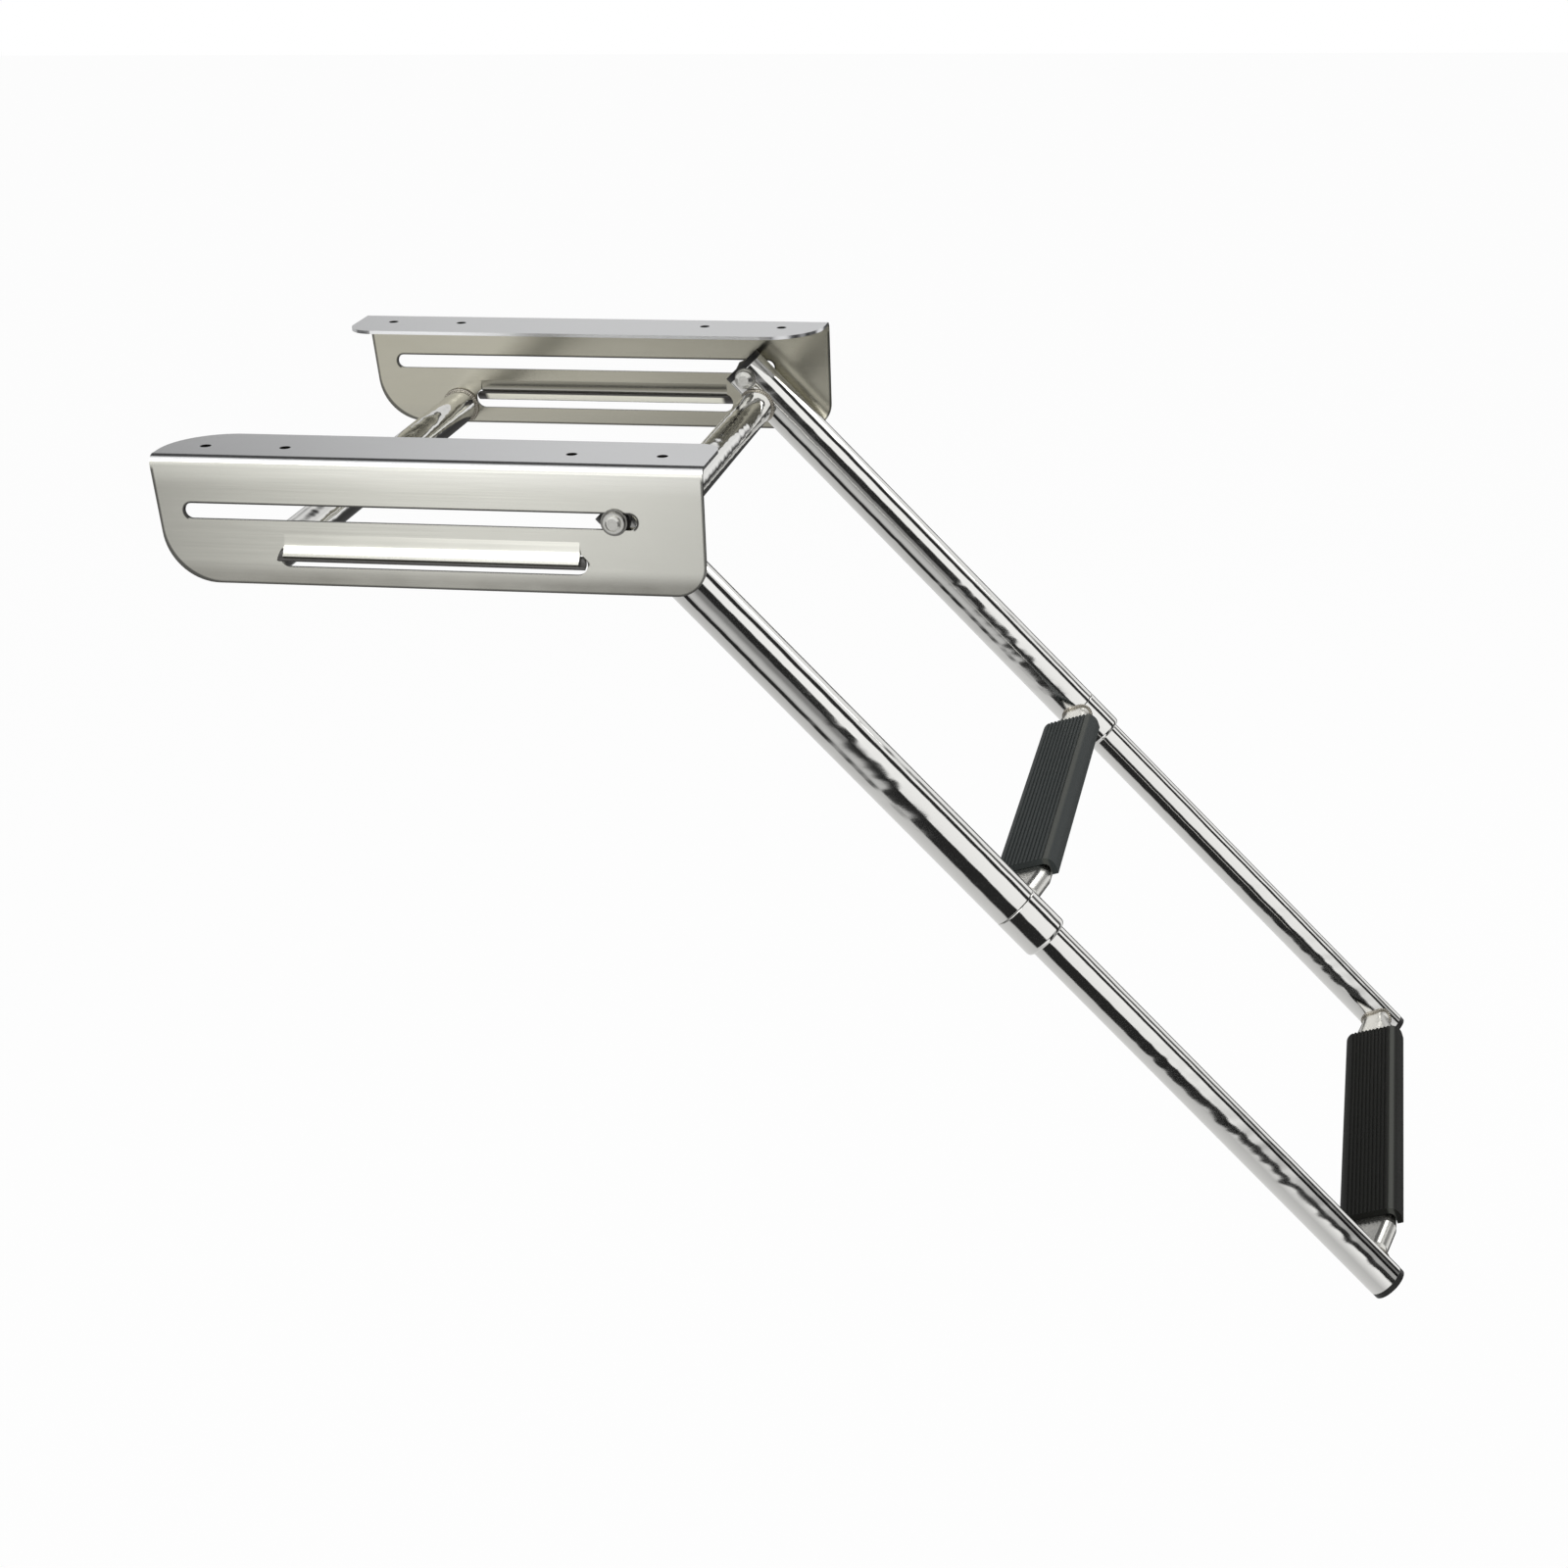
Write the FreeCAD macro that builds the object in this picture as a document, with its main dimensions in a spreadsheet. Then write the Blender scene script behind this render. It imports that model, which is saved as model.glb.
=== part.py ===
# Telescopic two-step boarding ladder on a pair of slide-mount brackets.
#
# Frame: +X runs along the brackets from their rear end to their front end, +Y from the near
# bracket to the far one, +Z up. The origin is the centre of the near bracket's flange top, and
# Z = 0 is the top of both flanges. Runs along a bracket are measured from its rear end, and
# distances across from the near web's outer face. Ladder pieces are drawn with X down along the
# side tubes and Z square to them, from the pivot axis; their Placement hangs them on the pivots.
import FreeCAD, Part
import math
import os
import Sketcher

doc = FreeCAD.newDocument("TelescopicLadder")
sheet = doc.addObject("Spreadsheet::Sheet", "Sizes")
V = FreeCAD.Vector

SIZES = {
    # brackets
    "bracket_length": 363.0,
    "overall_width": 420.0,
    "web_height": 84.0,
    "flange_width": 58.0,
    "sheet_gauge": 2.5,
    "bend_radius": 6.0,
    "rear_slant": 7.0,
    "rear_corner": 36.0,
    "front_corner": 20.0,
    "wide_corner": 42.0,
    "near_front_corner": 14.0,
    "far_rear_corner": 20.0,
    "slot_drop": 36.2,
    "slot_start": 20.4,
    "slot_finish": 320.0,
    "slot_height": 10.4,
    "ledge_start": 82.0,
    "ledge_finish": 286.5,
    "ledge_top": 50.0,
    "ledge_reach": 13.0,
    "ledge_out": 6.0,
    "ledge_relief": 4.5,
    "window_top": 57.5,
    "window_height": 14.5,
    "strip_gauge": 2.0,
    "strip_top": 9.5,
    "strip_edge": 1.2,
    "strip_play": 0.3,
    "hole_radius": 3.3,
    "hole_inset": 26.0,
    "hole_one": 28.1,
    "hole_two": 82.1,
    "hole_three": 272.7,
    "hole_four": 331.6,
    "tie_run": 69.0,
    "tie_drop": 71.3,
    "rung_radius": 12.7,
    "rung_bore": 11.2,
    # pivot hardware
    "pivot_run": 305.3,
    "hang_angle": 46.34,
    "bolt_radius": 4.0,
    "bolt_play": 0.08,
    "head_radius": 7.6,
    "head_rim": 1.5,
    "head_cap": 4.9,
    "head_height": 4.2,
    "head_round": 1.2,
    "washer_radius": 8.6,
    "washer_gauge": 1.2,
    "side_play": 0.3,
    "bushing_radius": 4.95,
    "bushing_flange": 9.5,
    "nut_radius": 6.5,
    "nut_height": 7.5,
    # ladder, upper section
    "tube_inset": 22.5,
    "outer_radius": 15.875,
    "outer_bore": 14.3,
    "outer_start": 7.0,
    "outer_finish": 358.0,
    "plug_end": 11.5,
    "plug_depth": 14.0,
    "plug_round": 4.0,
    "foot_round": 1.5,
    "cross_run": 21.0,
    "cross_drop": 10.0,
    "collar_finish": 388.0,
    "collar_bore": 12.8,
    "collar_spigot": 16.0,
    "collar_round": 3.0,
    "upper_step_run": 361.0,
    # ladder, lower section
    "inner_radius": 12.7,
    "inner_bore": 11.2,
    "inner_start": 318.0,
    "inner_finish": 714.0,
    "guide_length": 14.0,
    "foot_end": 719.5,
    "foot_depth": 16.0,
    "lower_step_run": 700.0,
    # steps
    "step_tilt": 17.0,
    "core_half_width": 16.5,
    "core_half_height": 7.6,
    "core_end_half_width": 10.5,
    "core_wall": 1.5,
    "core_taper": 30.0,
    "tread_half_width": 21.5,
    "tread_gauge": 4.2,
    "tread_depth": 13.0,
    "tread_seat": 0.2,
    "tread_round": 8.5,
    "tread_inset": 72.0,
    "rib_pitch": 2.8,
    "rib_count": 11.0,
    "rib_width": 1.2,
    "rib_depth": 0.7,
}

for row, (alias, size) in enumerate(SIZES.items(), start=1):
    sheet.set("A%d" % row, alias)
    sheet.set("B%d" % row, repr(size))
    sheet.setAlias("B%d" % row, alias)
doc.recompute()


def cell(text):
    """Spell an expression on the sheet: every alias in the text gets the sheet's name."""
    words = []
    for word in text.replace("(", " ( ").replace(")", " ) ").split():
        words.append("Sizes." + word if word in SIZES else word)
    return " ".join(words)


def number(text):
    """The value that an expression has with the present sizes."""
    return evaluate(text.replace("(", " ( ").replace(")", " ) ").split())


def evaluate(words):
    """Read sums, products and brackets, left to right, with products first."""
    position = [0]

    def atom():
        word = words[position[0]]
        position[0] += 1
        if word == "(":
            inner = total()
            position[0] += 1
            return inner
        if word == "-":
            return -atom()
        return SIZES[word] if word in SIZES else float(word)

    def product():
        left = atom()
        while position[0] < len(words) and words[position[0]] in "*/":
            mark = words[position[0]]
            position[0] += 1
            right = atom()
            left = left * right if mark == "*" else left / right
        return left

    def total():
        left = product()
        while position[0] < len(words) and words[position[0]] in "+-":
            mark = words[position[0]]
            position[0] += 1
            right = product()
            left = left + right if mark == "+" else left - right
        return left

    return total()


def new_body(name):
    body = doc.addObject("PartDesign::Body", name)
    body.Label = name
    return body


def new_sketch(body, role, lift="0"):
    """A sketch on one of the body's own planes, lifted along the plane's normal."""
    sketch = body.newObject("Sketcher::SketchObject", body.Name + "_sketch")
    plane = [f for f in body.Origin.OriginFeatures if f.Role == role][0]
    sketch.AttachmentSupport = (plane, [""])
    sketch.MapMode = "FlatFace"
    sketch.setExpression("AttachmentOffset.Base.z", cell(lift))
    return sketch


def hold(sketch, geometry, point, across, up):
    """Hold a point of the sketch at its distances from the origin, bound to the sheet."""
    for kind, text in (("DistanceX", across), ("DistanceY", up)):
        if text is None:
            continue
        size = number(text)
        if size >= 0:
            ends = (-1, 1, geometry, point)
            spelled = cell(text)
        else:
            ends = (geometry, point, -1, 1)
            spelled = "-(" + cell(text) + ")"
        index = sketch.addConstraint(Sketcher.Constraint(kind, *ends, abs(size)))
        sketch.setExpression("Constraints[%d]" % index, spelled)


def draw_polygon(sketch, corners):
    """A closed outline through corners, each a pair of expressions on the sheet."""
    first = sketch.GeometryCount
    points = [V(number(x), number(y), 0) for x, y in corners]
    count = len(points)
    for i in range(count):
        sketch.addGeometry(Part.LineSegment(points[i], points[(i + 1) % count]), False)
    for i in range(count):
        following = first + (i + 1) % count
        sketch.addConstraint(Sketcher.Constraint("Coincident", first + i, 2, following, 1))
    for i, (x, y) in enumerate(corners):
        hold(sketch, first + i, 1, x, y)


def draw_circle(sketch, across, up, radius):
    """A circle whose centre and radius are bound to the sheet."""
    circle = Part.Circle(V(number(across), number(up), 0), V(0, 0, 1), number(radius))
    index = sketch.addGeometry(circle, False)
    size = sketch.addConstraint(Sketcher.Constraint("Radius", index, number(radius)))
    sketch.setExpression("Constraints[%d]" % size, cell(radius))
    hold(sketch, index, 3, across, up)


def draw_slot(sketch, start, finish, up, half):
    """A level slot with round ends: start and finish are its extreme points."""
    x0, x1, y, r = number(start), number(finish), number(up), number(half)
    left = Part.ArcOfCircle(Part.Circle(V(x0 + r, y, 0), V(0, 0, 1), r), math.pi / 2, 3 * math.pi / 2)
    right = Part.ArcOfCircle(Part.Circle(V(x1 - r, y, 0), V(0, 0, 1), r), -math.pi / 2, math.pi / 2)
    a = sketch.addGeometry(left, False)
    b = sketch.addGeometry(Part.LineSegment(V(x0 + r, y - r, 0), V(x1 - r, y - r, 0)), False)
    c = sketch.addGeometry(right, False)
    d = sketch.addGeometry(Part.LineSegment(V(x1 - r, y + r, 0), V(x0 + r, y + r, 0)), False)
    for pair in ((a, 2, b, 1), (b, 2, c, 1), (c, 2, d, 1), (d, 2, a, 1)):
        sketch.addConstraint(Sketcher.Constraint("Tangent", *pair))
    sketch.addConstraint(Sketcher.Constraint("Equal", a, c))
    size = sketch.addConstraint(Sketcher.Constraint("Radius", a, r))
    sketch.setExpression("Constraints[%d]" % size, cell(half))
    hold(sketch, a, 3, start + " + (" + half + ")", up)
    across = sketch.addConstraint(Sketcher.Constraint("DistanceX", -1, 1, c, 3, x1 - r))
    sketch.setExpression("Constraints[%d]" % across, cell(finish + " - (" + half + ")"))


def extrude(body, kind, sketch, length, reverse=False, both=False):
    """Pad or Pocket a sketch by a length bound to the sheet."""
    feature = body.newObject("PartDesign::" + kind, body.Name + "_" + kind)
    feature.Profile = sketch
    feature.Length = number(length)
    feature.setExpression("Length", cell(length))
    feature.Reversed = reverse
    feature.Midplane = both
    sketch.Visibility = False
    return feature


def spin(body, sketch, axis="H_Axis"):
    feature = body.newObject("PartDesign::Revolution", body.Name + "_Revolution")
    feature.Profile = sketch
    feature.ReferenceAxis = (sketch, [axis])
    feature.Angle = 360
    return feature


def round_edges(body, base, chosen, radius):
    """Fillet the edges of a feature for which chosen(edge) is true."""
    doc.recompute()
    names = ["Edge%d" % (i + 1) for i, edge in enumerate(base.Shape.Edges) if chosen(edge)]
    fillet = body.newObject("PartDesign::Fillet", body.Name + "_Fillet")
    fillet.Base = (base, names)
    fillet.Radius = number(radius)
    fillet.setExpression("Radius", cell(radius))
    return fillet


def near(a, b, gap=0.01):
    return abs(a - b) < gap


def place(thing, run="0", up="0"):
    """Set a piece in the frame: run from the brackets' rear end, height from the flange tops."""
    thing.setExpression("Placement.Base.x", "%s - Sizes.bracket_length / 2" % run)
    thing.setExpression("Placement.Base.y", "-(Sizes.flange_width) / 2")
    thing.setExpression("Placement.Base.z", up)


def turn(thing, angle):
    """Turn a piece about the cross direction by an angle bound to the sheet."""
    thing.Placement = FreeCAD.Placement(V(0, 0, 0), FreeCAD.Rotation(V(0, 1, 0), 1))
    thing.setExpression("Placement.Rotation.Angle", angle)


def hang(thing):
    """Give a ladder piece its place: origin on the pivot axis, turned to the hang angle."""
    turn(thing, "Sizes.hang_angle")
    place(thing, "Sizes.pivot_run", "-(Sizes.slot_drop)")


nodes = []


def keep(thing):
    nodes.append(thing)
    return thing


BEND = "( ( ledge_out * ledge_out + ledge_reach * ledge_reach ) / ( 2 * ledge_out ) )"


def draw_arc_band(sketch, face, inward, radii, drops):
    """Two arcs about the ledge's centre of bend, each from one drop below its top to another."""
    side = 1 if inward == " + " else -1
    across = face + (" - " if side > 0 else " + ") + BEND
    centre = V(number(across), number("- ledge_top"), 0)
    tip, root = (1, 2) if side > 0 else (2, 1)
    arcs = []
    for radius, (high, low) in zip(radii, drops):
        size = number(radius)
        ends = [math.asin(number(drop) / size) for drop in (high, low)]
        start, finish = (-ends[1], -ends[0]) if side > 0 else (math.pi + ends[0], math.pi + ends[1])
        circle = Part.Circle(centre, V(0, 0, 1), size)
        arc = sketch.addGeometry(Part.ArcOfCircle(circle, start, finish), False)
        index = sketch.addConstraint(Sketcher.Constraint("Radius", arc, size))
        sketch.setExpression("Constraints[%d]" % index, cell(radius))
        hold(sketch, arc, 3, across, "- ledge_top")
        hold(sketch, arc, root, None, "- ledge_top - ( " + high + " )")
        hold(sketch, arc, tip, None, "- ledge_top - ( " + low + " )")
        arcs.append(arc)
    for point in (root, tip):
        ends = [sketch.getPoint(arc, point) for arc in arcs]
        line = sketch.addGeometry(Part.LineSegment(*ends), False)
        sketch.addConstraint(Sketcher.Constraint("Coincident", line, 1, arcs[0], point))
        sketch.addConstraint(Sketcher.Constraint("Coincident", line, 2, arcs[1], point))


# Brackets: one bent sheet each, with the flange turned inward, a long slot for the pivot and a
# lanced ledge below it. The far bracket mirrors the near one, except that its wide flange corner
# is at the front. side is +1 for the near bracket and -1 for the far one.
BRACKETS = (
    ("near_bracket", 1, "0", "wide_corner", "near_front_corner"),
    ("far_bracket", -1, "overall_width", "far_rear_corner", "wide_corner"),
)
for name, side, face, rear_round, front_round in BRACKETS:
    body = new_body(name)
    inward = " + " if side > 0 else " - "
    section = new_sketch(body, "YZ_Plane")
    draw_polygon(section, [
        (face, "0"),
        (face + inward + "flange_width", "0"),
        (face + inward + "flange_width", "- sheet_gauge"),
        (face + inward + "sheet_gauge", "- sheet_gauge"),
        (face + inward + "sheet_gauge", "- web_height"),
        (face, "- web_height"),
    ])
    sheet_pad = extrude(body, "Pad", section, "bracket_length")
    outer_face = number(face)
    inner_face = number(face + inward + "sheet_gauge")

    def along_bend(edge, level, across):
        box = edge.BoundBox
        return box.XLength > 100 and near(box.YMin, across) and near(box.ZMin, level)

    outer_bend = round_edges(body, sheet_pad, lambda e: along_bend(e, 0, outer_face), "bend_radius")
    inner_bend = round_edges(
        body, outer_bend,
        lambda e: along_bend(e, -SIZES["sheet_gauge"], inner_face), "bend_radius - sheet_gauge")

    # the web's rear end leans forward and its two lower corners are cut off, then rounded
    trim = new_sketch(body, "XZ_Plane", "- (" + face + ") - 60")
    draw_polygon(trim, [
        ("-5", "- bend_radius"),
        ("0", "- bend_radius"),
        ("rear_slant", "- web_height"),
        ("rear_slant", "- web_height - 5"),
        ("-5", "- web_height - 5"),
    ])
    slant = extrude(body, "Pocket", trim, "120", reverse=True)
    lower = SIZES["web_height"]

    def at_lower_corner(edge, run):
        box = edge.BoundBox
        return (box.YLength > 1 and box.XLength < 0.01 and box.ZLength < 0.01
                and near(box.ZMin, -lower) and near(box.XMin, run))

    rear = round_edges(body, slant, lambda e: at_lower_corner(e, SIZES["rear_slant"]), "rear_corner")
    front = round_edges(
        body, rear, lambda e: at_lower_corner(e, SIZES["bracket_length"]), "front_corner")
    free_edge = number(face + inward + "flange_width")

    def at_flange_corner(edge, run):
        box = edge.BoundBox
        return (box.ZLength > 1 and box.XLength < 0.01 and box.YLength < 0.01
                and near(box.YMin, free_edge) and near(box.XMin, run))

    flange_rear = round_edges(body, front, lambda e: at_flange_corner(e, 0), rear_round)
    flange_front = round_edges(
        body, flange_rear, lambda e: at_flange_corner(e, SIZES["bracket_length"]), front_round)

    slot = new_sketch(body, "XZ_Plane", "- (" + face + ") - 20")
    draw_slot(slot, "slot_start", "slot_finish", "- slot_drop", "slot_height / 2")
    extrude(body, "Pocket", slot, "40", reverse=True)

    # the ledge's window: a slot with round ends below, and the flap's own width above it
    window = new_sketch(body, "XZ_Plane", "- (" + face + ") - 20")
    draw_slot(window, "ledge_start", "ledge_finish", "- window_top - window_height / 2",
              "window_height / 2")
    extrude(body, "Pocket", window, "40", reverse=True)
    lance = new_sketch(body, "XZ_Plane", "- (" + face + ") - 20")
    draw_polygon(lance, [
        ("ledge_start + ledge_relief", "- ledge_top"),
        ("ledge_finish - ledge_relief", "- ledge_top"),
        ("ledge_finish - ledge_relief", "- window_top - window_height / 2"),
        ("ledge_start + ledge_relief", "- window_top - window_height / 2"),
    ])
    extrude(body, "Pocket", lance, "40", reverse=True)

    holes = new_sketch(body, "XY_Plane", "- 20")
    for run in ("hole_one", "hole_two", "hole_three", "hole_four"):
        draw_circle(holes, run, face + inward + "hole_inset", "hole_radius")
    extrude(body, "Pocket", holes, "40", reverse=True)

    # the ledge: the sheet above the window curves down and outward, its lower edge left free
    flap = new_sketch(body, "YZ_Plane", "ledge_start + ledge_relief")
    flap_back = BEND + " + sheet_gauge"
    flap_drop = "ledge_reach * ( " + flap_back + " ) / " + BEND
    draw_arc_band(flap, face, inward, (BEND, flap_back), (("0", "ledge_reach"), ("0", flap_drop)))
    extrude(body, "Pad", flap, "ledge_finish - ledge_start - 2 * ledge_relief")
    place(body)
    keep(body)

    # slide strip: a nylon strip bonded to the back of the ledge, its ends rounded to the window's
    strip = new_body(name.replace("bracket", "slide_strip"))
    curve = new_sketch(strip, "YZ_Plane", "ledge_start")
    strip_back = flap_back + " + strip_gauge"
    draw_arc_band(curve, face, inward, (flap_back, strip_back), (
        ("strip_top", flap_drop + " + strip_edge"),
        ("strip_top + 0.5", flap_drop + " + strip_edge + strip_gauge / 2")))
    extrude(strip, "Pad", curve, "ledge_finish - ledge_start")
    ends = new_sketch(strip, "XZ_Plane", "- (" + face + ") - 20")
    draw_polygon(ends, [
        ("ledge_start - 5", "- ledge_top + 5"),
        ("ledge_finish + 5", "- ledge_top + 5"),
        ("ledge_finish + 5", "- web_height"),
        ("ledge_start - 5", "- web_height"),
    ])
    draw_slot(ends, "ledge_start + strip_play", "ledge_finish - strip_play",
              "- window_top - window_height / 2", "window_height / 2 - strip_play")
    extrude(strip, "Pocket", ends, "40", reverse=True)
    place(strip)
    keep(strip)


def pipe(name, role, across, up, outer, inner, start, length, reverse=False):
    """A round tube square to one of the body's planes."""
    body = new_body(name)
    sketch = new_sketch(body, role, start)
    draw_circle(sketch, across, up, outer)
    if inner:
        draw_circle(sketch, across, up, inner)
    extrude(body, "Pad", sketch, length, reverse=reverse)
    return body


def cross_hole(body, run, up, radius, across):
    """A hole through a piece, square to the webs."""
    sketch = new_sketch(body, "XZ_Plane", "- (" + across + ") - 30")
    draw_circle(sketch, run, up, radius)
    return extrude(body, "Pocket", sketch, "60", reverse=True)


# Tie tube: joins the two webs behind the ledges
tie = pipe("tie_tube", "XZ_Plane", "tie_run", "- tie_drop", "rung_radius", "rung_bore",
           "- sheet_gauge", "overall_width - 2 * sheet_gauge", reverse=True)
place(tie)
keep(tie)

SIDES = (("near", 1, "0", "tube_inset"), ("far", -1, "overall_width", "overall_width - tube_inset"))


def lathe(name, corners, flip):
    """A turned piece on the Y axis; with flip it is built from the far side inward."""
    body = new_body(name)
    sketch = new_sketch(body, "YZ_Plane")
    if flip:
        corners = [("overall_width - (" + y + ")", r) for y, r in corners]
    draw_polygon(sketch, corners)
    spin(body, sketch)
    return body


# Pivot hardware: on each side a round-headed bolt runs from outside the web through the slot and
# the side tube, with a washer under its head, a flanged bushing in the slot and a domed nut
for name, side, face, middle in SIDES:
    flip = side < 0
    tip = "tube_inset + outer_radius + side_play + washer_gauge + nut_height - 1"
    head_seat = "- side_play - washer_gauge"
    bolt = lathe(name + "_pivot_bolt", [
        (head_seat + " - head_height", "0"),
        (head_seat + " - head_height", "head_cap - head_round"),
        (head_seat + " - head_height + head_round", "head_cap"),
        (head_seat + " - head_rim", "head_cap"),
        (head_seat + " - head_rim", "head_radius - head_rim / 3"),
        (head_seat, "head_radius"),
        (head_seat, "bolt_radius"),
        (tip, "bolt_radius"),
        (tip, "0"),
    ], flip)
    washer = lathe(name + "_head_washer", [
        (head_seat, "bolt_radius"),
        (head_seat, "washer_radius"),
        ("- side_play", "washer_radius"),
        ("- side_play", "bolt_radius"),
    ], flip)
    bushing = lathe(name + "_slot_bushing", [
        ("- side_play", "bolt_radius"),
        ("- side_play", "bushing_radius"),
        ("sheet_gauge + side_play", "bushing_radius"),
        ("sheet_gauge + side_play", "bushing_flange"),
        ("tube_inset - outer_radius - side_play", "bushing_flange"),
        ("tube_inset - outer_radius - side_play", "bolt_radius"),
    ], flip)
    nut_seat = "tube_inset + outer_radius + side_play"
    nut = lathe(name + "_pivot_nut", [
        (nut_seat, "bolt_radius"),
        (nut_seat, "nut_radius + 1.5"),
        (nut_seat + " + washer_gauge", "nut_radius + 1.5"),
        (nut_seat + " + washer_gauge", "nut_radius"),
        (nut_seat + " + washer_gauge + nut_height - 2", "nut_radius"),
        (nut_seat + " + washer_gauge + nut_height", "nut_radius - 2.5"),
        (nut_seat + " + washer_gauge + nut_height", "0"),
        (tip, "0"),
        (tip, "bolt_radius"),
    ], flip)
    for piece in (bolt, washer, bushing, nut):
        place(piece, "Sizes.pivot_run", "-(Sizes.slot_drop)")
        keep(piece)


def on_tube(name, middle, corners):
    """A turned piece on a side tube's axis: corners are pairs of run and radius."""
    body = new_body(name)
    sketch = new_sketch(body, "XZ_Plane", "- (" + middle + ")")
    draw_polygon(sketch, corners)
    spin(body, sketch)
    return body


# Side tubes, plugs and collars
for name, side, face, middle in SIDES:
    outer = pipe(name + "_outer_tube", "YZ_Plane", middle, "0", "outer_radius", "outer_bore",
                 "- outer_start", "outer_finish + outer_start")
    cross_hole(outer, "0", "0", "bolt_radius + bolt_play", middle)
    plug = on_tube(name + "_top_plug", middle, [
        ("- plug_end", "0"),
        ("- plug_end", "outer_radius - plug_round"),
        ("- plug_end + plug_round * 0.29", "outer_radius - plug_round * 0.29"),
        ("- plug_end + plug_round", "outer_radius"),
        ("- outer_start", "outer_radius"),
        ("- outer_start", "outer_bore"),
        ("plug_depth - outer_start", "outer_bore"),
        ("plug_depth - outer_start", "0"),
    ])
    cross_hole(plug, "0", "0", "bolt_radius + bolt_play", middle)
    collar = on_tube(name + "_collar", middle, [
        ("outer_finish - collar_spigot", "collar_bore"),
        ("outer_finish - collar_spigot", "outer_bore"),
        ("outer_finish", "outer_bore"),
        ("outer_finish", "outer_radius"),
        ("collar_finish - collar_round", "outer_radius"),
        ("collar_finish - collar_round * 0.3", "outer_radius - collar_round * 0.3"),
        ("collar_finish", "outer_radius - collar_round * 0.8"),
        ("collar_finish", "collar_bore"),
    ])
    inner = pipe(name + "_inner_tube", "YZ_Plane", middle, "0", "inner_radius", "inner_bore",
                 "inner_start", "inner_finish - inner_start")
    guide = on_tube(name + "_guide_ring", middle, [
        ("inner_start - 3", "inner_bore - 2"),
        ("inner_start - 3", "outer_bore - 0.1"),
        ("inner_start", "outer_bore - 0.1"),
        ("inner_start", "inner_bore"),
        ("inner_start + guide_length", "inner_bore"),
        ("inner_start + guide_length", "inner_bore - 2"),
    ])
    foot = on_tube(name + "_foot_plug", middle, [
        ("foot_end", "0"),
        ("foot_end", "inner_radius - foot_round"),
        ("foot_end - foot_round", "inner_radius"),
        ("inner_finish", "inner_radius"),
        ("inner_finish", "inner_bore"),
        ("inner_finish - foot_depth", "inner_bore"),
        ("inner_finish - foot_depth", "0"),
    ])
    for piece in (outer, plug, collar, inner, guide, foot):
        hang(piece)
        keep(piece)


def cope(body, radius):
    """Cut a piece's two ends to the round of the side tubes."""
    sketch = new_sketch(body, "YZ_Plane", "- 60")
    for middle in ("tube_inset", "overall_width - tube_inset"):
        draw_circle(sketch, middle, "0", radius)
    return extrude(body, "Pocket", sketch, "900", reverse=True)


# Cross tube: welded between the outer tubes just below the pivots
cross = pipe("top_cross_tube", "XZ_Plane", "cross_run", "- cross_drop", "rung_radius", "rung_bore",
             "- tube_inset", "overall_width - 2 * tube_inset", reverse=True)
cope(cross, "outer_radius")
hang(cross)
keep(cross)


def place_step(thing, run):
    """Set a step piece on the side tubes' axes at its run, its top tilted back to level use."""
    turn(thing, "-(Sizes.step_tilt)")
    place(thing, "Sizes.pivot_run + Sizes.%s * cos(Sizes.hang_angle)" % run,
          "-(Sizes.slot_drop + Sizes.%s * sin(Sizes.hang_angle))" % run)


def oval(body, lift, half_width, half_height):
    """A sketch of a flattened tube's outline: a level slot shape centred on the origin."""
    sketch = new_sketch(body, "XZ_Plane", "- (" + lift + ")")
    draw_slot(sketch, "- (" + half_width + ")", half_width, "0", half_height)
    sketch.Visibility = False
    return sketch


def join_rings(core, kind, stations, wall):
    """Loft the flattened outlines at the stations, each drawn in by the wall."""
    rings = [oval(core, lift, half + " - " + wall, "core_half_height - " + wall)
             for lift, half in stations]
    loft = core.newObject("PartDesign::" + kind, core.Name + "_" + kind)
    loft.Profile = rings[0]
    loft.Sections = rings[1:]
    loft.Ruled = True
    return loft


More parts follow.
